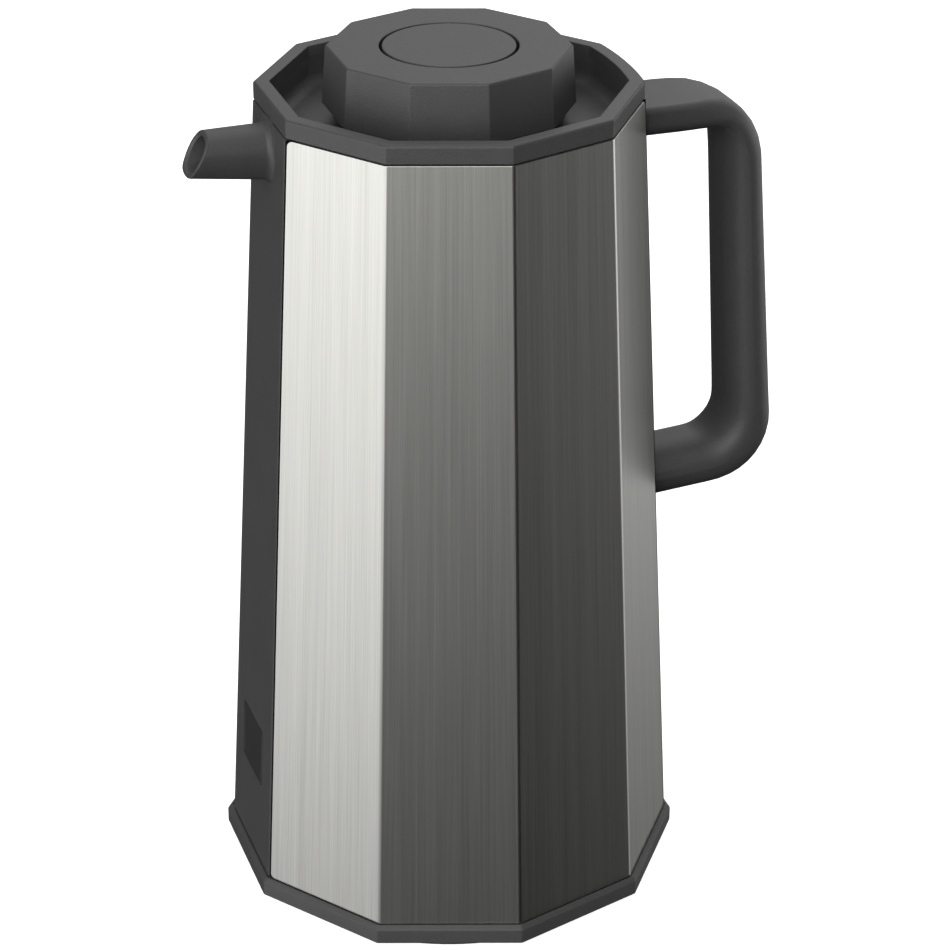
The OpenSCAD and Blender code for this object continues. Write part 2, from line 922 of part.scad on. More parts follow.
module stopper_gasket() {
  color("#8f8b84")
    tube(well_r - stopper_gasket_out, mouth_r + stopper_gasket_in, well_z, plug_flange_z);
}

module stopper_body() {
  window_z = plug_flange_z + plug_flange_t + 1;
  window_h = deck_z - window_z - deck_t;
  thread_h = 1.6;
  thread_proud = 0.6;
  hub_h = 5;
  hub_z = plug_flange_z - 8;
  spoke_t = 2;
  spoke_h = 4;
  color("#343434")
    difference() {
      union() {
        tube(plug_r, plug_r - knob_t, seat_face_z, plug_flange_z + eps);
        tube(plug_r, seat_hole_r, seat_face_z, seat_face_z + deck_t);
        tube(body_out_r, plug_r - knob_t, plug_flange_z, plug_flange_z + plug_flange_t);
        tube(body_out_r, body_out_r - knob_t, plug_flange_z, knob_z);
        tube(body_out_r - knob_t + eps, stem_r + slip, deck_z, deck_z + deck_t);
        tube(cap_flange_r, body_out_r - knob_t, knob_z - deck_t, knob_z);
        tube(stem_hub_r, stem_r + slip, hub_z, hub_z + hub_h);
        for (a = [0 : 120 : 240])
          rotate([0, 0, a])
            translate([stem_r + stem_hub_t / 2, -spoke_t / 2, hub_z])
              cube([plug_r - knob_t / 2 - stem_r - stem_hub_t / 2, spoke_t, spoke_h]);
        for (z = [deck_z - thread_h, deck_z + deck_t - thread_h / 2])
          rotate_extrude()
            polygon([
              [body_out_r - eps, z - thread_h], [body_out_r + thread_proud, z - thread_h / 2],
              [body_out_r + thread_proud, z], [body_out_r - eps, z + thread_h / 2]
            ]);
      }
      for (a = [0 : 60 : 120])
        rotate([0, 0, a])
          translate([-far / 2, -duct_w * 0.6, window_z])
            cube([far, duct_w * 1.2, window_h]);
    }
}

guide_t = 1.6;
guide_h = 9;

module knob_cover() {
  inner_low = knob_low_r - across(knob_t);
  inner_top = knob_top_r - across(knob_t);
  top_t = 2.4;
  hole_r = button_r + button_gap;
  color("#464646")
    difference() {
      union() {
        difference() {
          decagon(knob_low_r, knob_top_r, knob_z, knob_top_z);
          decagon(inner_low, inner_top, knob_z - eps, knob_top_z - top_t);
        }
        translate([0, 0, knob_top_z - guide_h])
          cylinder(r = hole_r + guide_t, h = guide_h - top_t / 2);
      }
      translate([0, 0, knob_z])
        cylinder(r = hole_r, h = far);
    }
}

module stem_seal() {
  seal_w = 2.5;
  seal_h = 2;
  color("#2b2b2b")
    tube(stem_r + seal_w, stem_r + slip, deck_z + deck_t, deck_z + deck_t + seal_h);
}

spring_seat_t = 0.8;
spring_seat_w = 2;
spring_z = deck_z + deck_t + spring_seat_t;

// Steel cup that keeps the foot of the spring off the plastic deck
module spring_seat() {
  color("#a9a9a9")
    tube(spring_r + spring_seat_w, spring_r - spring_seat_w, deck_z + deck_t, spring_z);
}

button_top_t = 2;
button_skirt_t = 1.6;
press_room = 1.5;
stem_top_z = knob_top_z - button_top_t;
boss_h = 6;

module push_button() {
  skirt_low_z = knob_z + button_travel + press_room;
  color("#484848")
    union() {
      difference() {
        translate([0, 0, skirt_low_z])
          cylinder(r = button_r, h = knob_top_z - skirt_low_z);
        translate([0, 0, skirt_low_z - eps])
          cylinder(r = button_r - button_skirt_t, h = stem_top_z - skirt_low_z + eps);
      }
      tube(stem_hub_r + 1, stem_r, stem_top_z - boss_h, stem_top_z + eps);
    }
}

valve_gasket_t = 2;
valve_z = seat_face_z - valve_gasket_t;
valve_t = 3;
valve_over = 4;
valve_r = seat_hole_r + valve_over;
valve_edge = 1;
gasket_edge = 0.5;
gasket_over = 2;
pin_r = 1.4;
pin_bite = 7;
pin_hole = 9;
pin_head_r = 3;
pin_head_t = 1.8;

module valve_stem() {
  color("#b5b5b5")
    difference() {
      translate([0, 0, valve_z])
        cylinder(r = stem_r, h = stem_top_z - valve_z);
      translate([0, 0, valve_z - eps])
        cylinder(r = pin_r + slip, h = pin_hole);
    }
}

module valve_disc() {
  color("#343434")
    rotate_extrude()
      polygon([
        [pin_r + slip, valve_z - valve_t], [valve_r - valve_edge, valve_z - valve_t],
        [valve_r, valve_z - valve_t + valve_edge], [valve_r, valve_z], [pin_r + slip, valve_z]
      ]);
}

module valve_gasket() {
  color("#8f8b84")
    tube(valve_r - gasket_edge, seat_hole_r - gasket_over, valve_z, seat_face_z);
}

module valve_screw() {
  color("#8d8d8d")
    translate([0, 0, valve_z - valve_t])
      pan_screw(pin_head_r, pin_head_t, pin_r, valve_t + pin_bite);
}

// Compression spring, drawn as a wire swept along its helix
module button_spring() {
  wire_sides = 8;
  per_turn = 20;
  z0 = spring_z + wire_r;
  z1 = stem_top_z - wire_r - slip;
  steps = ceil(spring_turns * per_turn);
  color("#c8c8c8")
    loft([
      for (i = [0 : steps])
        let (a = 360 * i / per_turn, z = z0 + (z1 - z0) * i / steps)
          [
            for (j = [0 : wire_sides - 1])
              let (b = 360 * j / wire_sides, r = spring_r + wire_r * cos(b))
                [r * cos(a), r * sin(a), z + wire_r * sin(b)]
          ]
    ]);
}

base_ring();
bottom_cover();
liner_cushion();
body_case();
steel_panel_left();
steel_panel_right();
front_column();
rear_column();
badge_plate();
handle();
handle_screws();
column_screws();
rim();
neck_tray();
spout_sleeve();
mouth_gasket();
flask_inner();
flask_outer();
flask_spacers();
flask_tip();
stopper_gasket();
stopper_body();
knob_cover();
stem_seal();
spring_seat();
push_button();
valve_stem();
valve_disc();
valve_gasket();
valve_screw();
button_spring();
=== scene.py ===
"""Looks of the ten-sided thermal carafe: bevelled shells, spout, stopper, handle and finishes."""

import json
import math

import bmesh
import bpy
from mathutils import Matrix, Vector


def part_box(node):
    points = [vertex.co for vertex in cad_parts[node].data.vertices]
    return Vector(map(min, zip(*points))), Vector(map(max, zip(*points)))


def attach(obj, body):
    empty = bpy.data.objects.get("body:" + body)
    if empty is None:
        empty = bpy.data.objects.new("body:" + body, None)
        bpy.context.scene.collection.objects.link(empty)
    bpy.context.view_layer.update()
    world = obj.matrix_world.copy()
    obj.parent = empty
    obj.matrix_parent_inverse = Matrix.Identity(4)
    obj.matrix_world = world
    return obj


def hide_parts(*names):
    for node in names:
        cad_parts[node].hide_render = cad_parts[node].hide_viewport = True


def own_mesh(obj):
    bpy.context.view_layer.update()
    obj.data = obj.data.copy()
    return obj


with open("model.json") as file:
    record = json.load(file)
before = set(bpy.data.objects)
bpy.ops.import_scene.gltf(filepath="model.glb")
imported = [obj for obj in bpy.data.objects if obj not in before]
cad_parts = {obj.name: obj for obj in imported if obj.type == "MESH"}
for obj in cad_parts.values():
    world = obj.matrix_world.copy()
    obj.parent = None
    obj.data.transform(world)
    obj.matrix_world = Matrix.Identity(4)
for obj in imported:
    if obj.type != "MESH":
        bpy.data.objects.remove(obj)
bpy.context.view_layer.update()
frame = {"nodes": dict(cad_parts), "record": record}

MM = 0.001
SIDES = 10
HALF_SIDE = math.pi / SIDES
CORNER_STEPS = 3
FLAT_STEPS = 9
SHARP = math.radians(34)


# ---- Sizes taken from the frame ----


def corner_reach(node, z):
    """How far from the axis the outermost corners of a node are at a height."""
    level = [v.co for v in frame["nodes"][node].data.vertices if abs(v.co.z - z) < 0.1 * MM]
    return max(math.hypot(p.x, p.y) for p in level)


panel_low, panel_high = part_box("steel_panel_left")
body_z, top_z = panel_low.z, panel_high.z
body_low_r = corner_reach("steel_panel_left", body_z)
body_top_r = corner_reach("steel_panel_left", top_z)
rim_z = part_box("rim")[1].z
rim_r = max(-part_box("rim")[0].y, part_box("rim")[1].y)
rim_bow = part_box("rim")[1].x - rim_r * math.cos(HALF_SIDE)
base_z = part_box("base_ring")[0].z
base_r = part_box("base_ring")[1].y
knob_z, knob_top_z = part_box("knob_cover")[0].z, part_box("knob_cover")[1].z
knob_low_r = corner_reach("knob_cover", knob_z)
knob_top_r = corner_reach("knob_cover", knob_top_z)
button_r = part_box("push_button")[1].x
button_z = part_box("push_button")[0].z
stem_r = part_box("valve_stem")[1].x


def facet_r(z):
    """Radius of the body's corners at a height."""
    return body_low_r + (body_top_r - body_low_r) * (z - body_z) / (top_z - body_z)


def facet_x(z):
    return facet_r(z) * math.cos(HALF_SIDE)


def facet_half_w(z):
    return facet_r(z) * math.sin(HALF_SIDE)


# ---- Mesh helpers ----


def facet_ring(radius, z, rounding=0.0, bow=0.0):
    """Ten-sided outline at a height: rounded corners and, if asked, a bowed rear facet."""
    centre = radius - rounding / math.cos(HALF_SIDE)
    flat = centre * math.sin(HALF_SIDE)
    apothem = radius * math.cos(HALF_SIDE)
    points = []
    for side in range(SIDES):
        corner = HALF_SIDE * (2 * side + 1)
        for step in range(CORNER_STEPS + 1):
            a = corner - HALF_SIDE + 2 * HALF_SIDE * step / CORNER_STEPS
            points.append(Vector((
                centre * math.cos(corner) + rounding * math.cos(a),
                centre * math.sin(corner) + rounding * math.sin(a),
                z,
            )))
        facing = corner + HALF_SIDE
        for step in range(1, FLAT_STEPS):
            u = 2 * step / FLAT_STEPS - 1
            out = apothem + (bow * (1 - u * u) if side == SIDES - 1 else 0)
            points.append(Vector((
                out * math.cos(facing) - u * flat * math.sin(facing),
                out * math.sin(facing) + u * flat * math.cos(facing),
                z,
            )))
    return points


def round_ring(radius, z):
    """Circle with as many points as facet_ring, in line with them."""
    count = SIDES * (CORNER_STEPS + FLAT_STEPS)
    start = HALF_SIDE * (1 - CORNER_STEPS / (CORNER_STEPS + FLAT_STEPS))
    angles = [start + 2 * math.pi * k / count for k in range(count)]
    return [Vector((radius * math.cos(a), radius * math.sin(a), z)) for a in angles]


def skin(name, rings, wrap):
    """Mesh over rings of equal length: closed on itself, or capped at both ends."""
    bm = bmesh.new()
    rows = [[bm.verts.new(p) for p in ring] for ring in rings]
    count = len(rows[0])
    pairs = list(zip(rows, rows[1:])) + ([(rows[-1], rows[0])] if wrap else [])
    for low, high in pairs:
        for j in range(count):
            k = (j + 1) % count
            bm.faces.new((low[j], low[k], high[k], high[j]))
    if not wrap:
        bm.faces.new(rows[0][::-1])
        bm.faces.new(rows[-1])
    return to_object(name, bm)


def to_object(name, bm):
    bmesh.ops.remove_doubles(bm, verts=bm.verts, dist=1e-6)
    bmesh.ops.recalc_face_normals(bm, faces=bm.faces)
    mesh = bpy.data.meshes.new(name)
    bm.to_mesh(mesh)
    bm.free()
    obj = bpy.data.objects.new(name, mesh)
    bpy.context.scene.collection.objects.link(obj)
    return obj


def arc(cx, cz, r, a0, a1, steps):
    """Points of an arc in a section, as (distance from the axis, height)."""
    angles = [math.radians(a0 + (a1 - a0) * k / steps) for k in range(steps + 1)]
    return [(cx + r * math.cos(a), cz + r * math.sin(a)) for a in angles]


def softened(name, node, *rules, merge=True):
    """Copy of a CAD form with edges rounded. A rule is a width, a count of segments and a test."""
    bm = bmesh.new()
    bm.from_mesh(frame["nodes"][node].data)
    bmesh.ops.remove_doubles(bm, verts=bm.verts, dist=2e-6)
    if merge:
        bmesh.ops.dissolve_limit(bm, angle_limit=math.radians(0.4), verts=bm.verts, edges=bm.edges)
    for width, segments, chosen in rules:
        edges = [
            e for e in bm.edges
            if len(e.link_faces) == 2 and e.calc_face_angle(0) > math.radians(20) and chosen(e)
        ]
        bmesh.ops.bevel(
            bm, geom=edges, offset=width, offset_type="OFFSET", segments=segments,
            profile=0.5, affect="EDGES", clamp_overlap=True,
        )
    return to_object(name, bm)


def middle(edge):
    return (edge.verts[0].co + edge.verts[1].co) / 2


def is_convex(edge):
    return edge.is_convex


def cut(obj, tool, operation):
    """Joins or cuts a closed form with another, which is used up."""
    modifier = obj.modifiers.new("cut", "BOOLEAN")
    modifier.operation = operation
    modifier.solver = "EXACT"
    modifier.object = tool
    evaluated = obj.evaluated_get(bpy.context.evaluated_depsgraph_get())
    mesh = bpy.data.meshes.new_from_object(evaluated)
    obj.modifiers.clear()
    obj.data = mesh
    bpy.data.objects.remove(tool)


def dress(obj, body, nodes, material):
    """Smooth shading, finish, and the body and CAD nodes that the piece belongs to."""
    bm = bmesh.new()
    bm.from_mesh(obj.data)
    for face in bm.faces:
        face.smooth = True
    for edge in bm.edges:
        edge.smooth = len(edge.link_faces) == 2 and edge.calc_face_angle(0) < SHARP
    bm.to_mesh(obj.data)
    bm.free()
    obj.data.materials.clear()
    obj.data.materials.append(material)
    weighted = obj.modifiers.new("weighted", "WEIGHTED_NORMAL")
    weighted.keep_sharp = True
    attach(obj, body)
    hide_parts(*nodes)
    return obj


def paint_gap_shadow(obj, inside):
    """Paints the faces inside a gap near-black with the case's finish, as painted shadow."""
    obj.data.materials.append(case_and_gap_shadow_black)
    for face in obj.data.polygons:
        if inside(face.center, face.normal):
            face.material_index = 1


def beside_panel(centre, normal):
    """A column's side faces, which look into the gaps beside the steel panels and get painted
    shadow.
    """
    at_edge = abs(centre.y) > facet_half_w(centre.z) - 0.5 * MM
    return abs(normal.y) > 0.8 and at_edge and centre.z < top_z


# ---- Finishes ----


class Field:
    """A shader socket whose arithmetic adds Math nodes."""

    def __init__(self, finish, socket):
        self.finish = finish
        self.socket = socket

    def math(self, operation, *values):
        return self.finish.node("ShaderNodeMath", {"operation": operation}, dict(enumerate(values)))

    def __add__(self, other):
        return self.math("ADD", self, other)

    def __radd__(self, other):
        return self.math("ADD", other, self)

    def __sub__(self, other):
        return self.math("SUBTRACT", self, other)

    def __rsub__(self, other):
        return self.math("SUBTRACT", other, self)

    def __mul__(self, other):
        return self.math("MULTIPLY", self, other)

    def __rmul__(self, other):
        return self.math("MULTIPLY", other, self)

    def __truediv__(self, other):
        return self.math("DIVIDE", self, other)

    def __rtruediv__(self, other):
        return self.math("DIVIDE", other, self)


class Shading:
    """A node tree, with one method that adds any node."""

    def __init__(self, tree):
        self.tree = tree
        tree.nodes.clear()

    def node(self, kind, settings=None, inputs=None, output=0):
        node = self.tree.nodes.new(kind)
        for key, value in (settings or {}).items():
            setattr(node, key, value)
        for key, value in (inputs or {}).items():
            if isinstance(value, Field):
                self.tree.links.new(value.socket, node.inputs[key])
            else:
                node.inputs[key].default_value = value
        return Field(self, node.outputs[output])

    def finish(self, kind, shader):
        """Links a shader to an output node of a kind."""
        self.tree.links.new(shader.socket, self.tree.nodes.new(kind).inputs["Surface"])


class Finish(Shading):
    """A node material with the patterns that the finishes share."""

    def __init__(self, name):
        self.material = bpy.data.materials.new(name)
        self.material.use_nodes = True
        super().__init__(self.material.node_tree)

    def noise(self, size, detail=2.0, roughness=0.5, at=None):
        """Noise from 0 to 1 whose features are about a size across."""
        at = at or self.node("ShaderNodeTexCoord", output="Object")
        inputs = {"Vector": at, "Scale": 1 / size, "Detail": detail, "Roughness": roughness}
        return self.node("ShaderNodeTexNoise", inputs=inputs)

    def blend(self, share, first, second):
        inputs = {0: share, 6: (*first, 1), 7: (*second, 1)}
        return self.node("ShaderNodeMix", {"data_type": "RGBA"}, inputs, output=2)

    def bump(self, height, distance, strength=1.0):
        inputs = {"Height": height, "Distance": distance, "Strength": strength}
        return self.node("ShaderNodeBump", inputs=inputs)

    def surface(self, inputs):
        shader = self.node("ShaderNodeBsdfPrincipled", inputs=inputs)
        self.finish("ShaderNodeOutputMaterial", shader)
        return self.material


def grey(level, warmth=0.0):
    """A grey of a display level from 0 to 255, as a linear colour."""
    c = (level / 255) ** 2.2
    return (c, c * (1 - 0.1 * warmth), c * (1 - warmth))


def moulded_plastic(name, level, roughness=0.44, grain=0.0001, specular=0.5):
    """Satin plastic with the fine spark-eroded grain of a mould and a slight mottle."""
    finish = Finish(name)
    grain_field = finish.noise(0.45 * MM, 2.0)
    mottle = finish.noise(14 * MM, 3.0)
    shade = mottle * 0.35 + grain_field * 0.65
    return finish.surface({
        "Base Color": finish.blend(shade, grey(level * 0.86), grey(level * 1.14)),
        "Roughness": mottle * 0.06 + grain_field * 0.08 + (roughness - 0.07),
        "Specular IOR Level": specular,
        "Normal": finish.bump(grain_field, grain),
    })


def brushed_steel(name):
    """Stainless sheet brushed along the body's taper: fine grain lines over wider streaks."""
    line_stretch = 0.004
    finish = Finish(name)
    coords = finish.node("ShaderNodeTexCoord", output="Object")
    height = finish.node("ShaderNodeSeparateXYZ", inputs={0: coords}, output="Z")
    narrowing = (body_top_r - body_low_r) / (top_z - body_z) / body_low_r
    spread = 1.0 / (height * narrowing + (1 - body_z * narrowing))
    squeeze = {"X": spread, "Y": spread, "Z": line_stretch}
    unrolled = finish.node("ShaderNodeCombineXYZ", inputs=squeeze)
    grain = finish.node("ShaderNodeVectorMath", {"operation": "MULTIPLY"}, {0: coords, 1: unrolled})
    lines = finish.noise(0.35 * MM, 4.0, roughness=0.75, at=grain)
    streaks = finish.noise(2.2 * MM, 2.0, at=grain)
    shade = lines * 0.8 + streaks * 0.2
    return finish.surface({
        "Base Color": finish.blend(shade, grey(150, 0.05), grey(246, 0.05)),
        "Metallic": 1.0,
        "Roughness": shade * 0.12 + 0.24,
        "Anisotropic": 0.3,
        "Normal": finish.bump(lines * 0.7 + streaks * 0.3, 0.000012),
    })


def bare_steel(name, level=200, roughness=0.3):
    """Turned or drawn steel with a faint haze."""
    finish = Finish(name)
    haze = finish.noise(2.5 * MM, 3.0)
    return finish.surface({
        "Base Color": finish.blend(haze, grey(level * 0.92), grey(level)),
        "Metallic": 1.0,
        "Roughness": haze * 0.12 + (roughness - 0.06),
        "Normal": finish.bump(haze, 0.00001),
    })


def silvered_glass(name):
    """Flask glass with the mirror coat behind it."""
    finish = Finish(name)
    ripple = finish.noise(9 * MM, 1.0)
    return finish.surface({
        "Base Color": finish.blend(ripple, grey(214, -0.01), grey(232, -0.01)),
        "Metallic": 0.92,
        "Roughness": ripple * 0.05 + 0.04,
        "Coat Weight": 1.0,
        "Normal": finish.bump(ripple, 0.00004),
    })


def soft_rubber(name, level, warmth=0.0, roughness=0.62):
    """Matt rubber with a powdery surface."""
    finish = Finish(name)
    powder = finish.noise(0.7 * MM, 4.0)
    bloom = finish.noise(8 * MM, 2.0)
    return finish.surface({
        "Base Color": finish.blend(bloom, grey(level * 0.93, warmth), grey(level * 1.06, warmth)),
        "Roughness": powder * 0.14 + (roughness - 0.07),
        "Normal": finish.bump(powder, 0.00003),
    })


charcoal = moulded_plastic("charcoal_plastic", 76)
column_black = moulded_plastic("column_plastic", 74)
stopper_grey = moulded_plastic("stopper_plastic", 76)
# Near-black: the body case's plastic, and also the painted shadow on faces inside the gaps
case_and_gap_shadow_black = moulded_plastic("case_plastic", 16, 0.6, specular=0.2)
panel_steel = brushed_steel("brushed_panel")
plain_steel = bare_steel("plain_steel")
flask_mirror = silvered_glass("flask_glass")
seal_silicone = soft_rubber("seal_silicone", 150, 0.08, 0.5)
black_rubber = soft_rubber("black_rubber", 44)
badge_black = moulded_plastic("badge_black", 52, 0.36, 0.00002)


# ---- Sub-parts ----

rim_w = 4.5 * MM
rim_lip = 3.2 * MM
tray_wall = 1.9 * MM
seam = 0.35 * MM


def across(depth):
    """Corner distance that goes with a distance measured across a facet."""
    return depth / math.cos(HALF_SIDE)


def faceted(radius, section, rounding, bow=0.0):
    """Rings of a section given as (depth inside the facet, height)."""
    return [facet_ring(radius - across(d), z, rounding, bow) for d, z in section]


def rim_ring():
    """Ten-sided ring with rounded top edges, standing on a recessed seam."""
    edge, inner_edge = 0.8 * MM, 0.3 * MM
    step_in, nip, lip_z = 0.9 * MM, 0.12 * MM, rim_z - rim_lip
    section = (
        [(step_in, top_z), (step_in, top_z + seam), (nip, top_z + seam), (0, top_z + seam + nip)]
        + arc(edge, rim_z - edge, edge, 180, 90, 5)
        + arc(rim_w - inner_edge, rim_z - inner_edge, inner_edge, 90, 0, 3)
        + [(rim_w, lip_z), (rim_w - tray_wall, lip_z), (rim_w - tray_wall, top_z)]
    )
    obj = skin("rim_ring", faceted(rim_r, section, 1.0 * MM, rim_bow), wrap=True)
    dress(obj, "root", ["rim"], charcoal)
    # Painted shadow: the recessed faces of the seam under the rim are made near-black
    paint_gap_shadow(obj, lambda centre, normal: centre.z < top_z + 0.8 * seam and normal.z > -0.9)


def neck_tray():
    """Tray with a coved floor and softened edges at the rim's seam and at the well."""
    tray_depth, wall_near, well_near = 11.8 * MM, 42 * MM, 34 * MM
    floor_z, wall_top = rim_z - tray_depth, rim_z - rim_lip

    def at(edge, z):
        return abs(middle(edge).z - z) < 0.05 * MM

    cove = (3.6 * MM, 7, lambda e: at(e, floor_z) and middle(e).xy.length > wall_near)
    well_edge = (0.7 * MM, 3, lambda e: at(e, floor_z) and middle(e).xy.length < well_near)
    seam_edge = (0.35 * MM, 2, lambda e: at(e, wall_top) and is_convex(e))
    obj = softened("tray_shell", "neck_tray", cove, well_edge, seam_edge)
    dress(obj, "root", ["neck_tray"], charcoal)


def base_foot():
    """Base ring with its chamfered ledge, web and threaded collar."""
    chamfer, edge, ledge = 1.2 * MM, 0.4 * MM, 1.5 * MM
    collar_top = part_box("base_ring")[1].z
    collar_out = corner_reach("base_ring", collar_top)
    collar_in = 57.4 * MM
    web_z = body_z - 2.4 * MM
    groove_out = base_r * math.cos(HALF_SIDE) - 3.6 * MM
    outer = (
        arc(edge, base_z + edge, edge, 270, 180, 3)
        + [(0, body_z - chamfer - 0.1 * MM), (0.06 * MM, body_z - chamfer + 0.06 * MM)]
        + [(chamfer - 0.06 * MM, body_z - 0.06 * MM), (chamfer + 0.1 * MM, body_z), (ledge, body_z)]
        + [(ledge + 0.1 * MM, body_z - seam), (3 * MM, body_z - seam)]
    )
    inner = [
        (collar_out, body_z - seam), (collar_out, collar_top),
        (collar_in, collar_top), (collar_in, base_z), (collar_out, base_z),
        (collar_out, web_z), (groove_out, web_z), (groove_out, base_z),
    ]
    rings = faceted(base_r, outer, 1.6 * MM) + [round_ring(r, z) for r, z in inner]
    obj = skin("base_foot", rings, wrap=True)
    dress(obj, "root", ["base_ring"], charcoal)


def bottom_cover():
    """Round cover under the base, with softened edges."""
    edges = (0.35 * MM, 2, is_convex)
    obj = softened("bottom_cover_cap", "bottom_cover", edges)
    dress(obj, "root", ["bottom_cover"], charcoal)


def steel_panel(side):
    """Four folded facets with rounded corners and a rolled fold line."""
    node = "steel_panel_" + side
    corners = (1.7 * MM, 5, lambda e: e.calc_length() < 1.0 * MM and abs(middle(e).y) < 0.03)
    folds = (0.65 * MM, 4, lambda e: e.calc_length() > 0.15 and abs(middle(e).y) > 0.024)
    rims = (0.2 * MM, 2, lambda e: is_convex(e) and e.calc_face_angle(0) > math.radians(60))
    obj = softened("panel_" + side, node, corners, folds, rims)
    dress(obj, "root", [node], panel_steel)


def column_slab(name, sign, thickness):
    """Plate that fills one facet of the body, with softly rolled long edges."""
    roll_w, roll_d, edge, steps = 1.3 * MM, 0.4 * MM, 0.2 * MM, 5
    rings = []
    for z, inset in ((body_z, edge), (body_z + edge, 0), (top_z - edge, 0), (top_z, edge)):
        x, y = facet_x(z) - inset, facet_half_w(z) - inset
        turns = [math.pi / 2 * k / steps for k in range(steps + 1)]
        half = [(x - roll_d * (1 - math.cos(t)), y - roll_w * (1 - math.sin(t))) for t in turns]
        half.append((facet_x(z) - thickness + inset, y))
        outline = half + [(p, -q) for p, q in half[::-1]]
        rings.append([Vector((sign * p, q, z)) for p, q in outline])
    return skin(name, rings, wrap=False)


def smooth_outline(corners, steps=5):
    """Smooth closed curve that touches the middle of each side of an outline."""
    points = []
    count = len(corners)
    for i in range(count):
        here = corners[i]
        start, end = (corners[i - 1] + here) / 2, (here + corners[(i + 1) % count]) / 2
        for k in range(steps):
            points.append(start.lerp(here, k / steps).lerp(here.lerp(end, k / steps), k / steps))
    return points


SPOUT_FORM = [
    (-0.29, 0.5), (0.29, 0.5), (0.48, 0.2), (0.5, 0), (0.46, -0.24),
    (0.31, -0.5), (-0.31, -0.5), (-0.46, -0.24), (-0.5, 0), (-0.48, 0.2),
]
spout_w, spout_root_h, spout_mouth_h = 14.6 * MM, 16 * MM, 13.8 * MM
spout_wall = 1.8 * MM
spout_slant = math.radians(27.5)
spout_reach = 21.2 * MM
root_z, mouth_z = top_z - 9.3 * MM, top_z - 7.9 * MM
spout_root = Vector((-facet_x(root_z), 0, root_z))
spout_mouth = Vector((-facet_x(mouth_z) - spout_reach, 0, mouth_z))


def spout_section(share, grow):
    """Outline of the spout between its root, at 0, and its mouth, at 1, grown outwards."""
    rings = []
    root, mouth = (spout_root, 0, spout_root_h), (spout_mouth, spout_slant, spout_mouth_h)
    for centre, slant, height in (root, mouth):
        w, h = spout_w + 2 * grow, height + 2 * grow
        flat = smooth_outline([Vector((a * w, b * h, 0)) for a, b in SPOUT_FORM])
        turn = Matrix.Rotation(slant, 3, "Y")
        rings.append([centre + turn @ Vector((0, p.x, p.y)) for p in flat])
    return [a.lerp(b, share) for a, b in zip(*rings)]


def spout_tube(name, profile):
    """Closed form through sections, each (share of the way to the mouth, growth)."""
    return skin(name, [spout_section(share, grow) for share, grow in profile], wrap=False)


def front_column():
    """Front plate and spout in one, flared at the root, with a rounded, bevelled mouth."""
    reach = (spout_mouth - spout_root).length
    fillet, lip_r, bevel, past = 2.2 * MM, 0.4 * MM, 0.7 * MM, 0.6 * MM
    flare_turns = [math.radians(18 * k) for k in range(6)]
    flare = [(fillet * (1 - math.cos(a)) / reach, fillet * (1 - math.sin(a))) for a in flare_turns]
    lip_turns = [math.radians(30 * k) for k in range(4)]
    lip = [(1 - lip_r * (1 - math.sin(a)) / reach, -lip_r * (1 - math.cos(a))) for a in lip_turns]
    outside = [(-1.5 * MM / reach, fillet)] + flare + lip
    inside = [
        (1 + past / reach, bevel - spout_wall + past),
        (1 - bevel / reach, -spout_wall),
        (-4 * MM / reach, -spout_wall),
    ]
    obj = column_slab("front_column_spout", -1, 2.9 * MM)
    cut(obj, spout_tube("spout_outside", outside), "UNION")
    cut(obj, spout_tube("spout_inside", inside), "DIFFERENCE")
    dress(obj, "root", ["front_column"], column_black)
    # Painted shadow: the side faces in the gaps beside the steel panels are made near-black
    paint_gap_shadow(obj, beside_panel)


def rear_column():
    """Plate behind the handle."""
    long_edges = (0.2 * MM, 2, lambda e: e.calc_length() > 0.15 and is_convex(e))
    obj = softened("rear_column_plate", "rear_column", long_edges)
    dress(obj, "root", ["rear_column"], column_black)
    # Painted shadow: the side faces in the gaps beside the steel panels are made near-black
    paint_gap_shadow(obj, beside_panel)


def badge():
    """Plain plate with a bevelled frame."""
    obj = softened("badge_frame", "badge_plate", (0.25 * MM, 3, is_convex))
    dress(obj, "root", ["badge_plate"], badge_black)


def handle():
    """Loop handle, as smooth as its CAD form."""
    obj = softened("handle_grip", "handle", merge=False)
    dress(obj, "root", ["handle"], charcoal)


def knob():
    """Ten-sided knob, hollow below, with the round guide that the button runs in."""
    wall, top_t, edge, hole_edge = 2.2 * MM, 2.4 * MM, 0.7 * MM, 0.35 * MM
    hole_r, guide_r, guide_z = button_r + 0.8 * MM, button_r + 2.4 * MM, knob_top_z - 9 * MM
    foot_edge, corner_r, under = 0.3 * MM, 0.9 * MM, knob_top_z - top_t
    slope = (knob_low_r - knob_top_r) / (knob_top_z - knob_z)
    side = [
        facet_ring(knob_low_r - across(foot_edge), knob_z, 0.8 * MM),
        facet_ring(knob_low_r - slope * foot_edge, knob_z + foot_edge, corner_r),
    ]
    top_edge = arc(edge, knob_top_z - edge, edge, 180, 90, 5)
    top = faceted(knob_top_r + slope * edge, top_edge, corner_r)
    hole = arc(hole_r + hole_edge, knob_top_z - hole_edge, hole_edge, 90, 180, 3)
    guide = [(hole_r, guide_z), (guide_r, guide_z), (guide_r, under)]
    inner = [
        facet_ring(knob_top_r - across(wall), under, 0.5 * MM),
        facet_ring(knob_low_r - across(wall), knob_z, 0.5 * MM),
    ]
    rings = side + top + [round_ring(r, z) for r, z in hole + guide] + inner
    obj = skin("knob_cap", rings, wrap=True)
    dress(obj, "stopper", ["knob_cover"], stopper_grey)


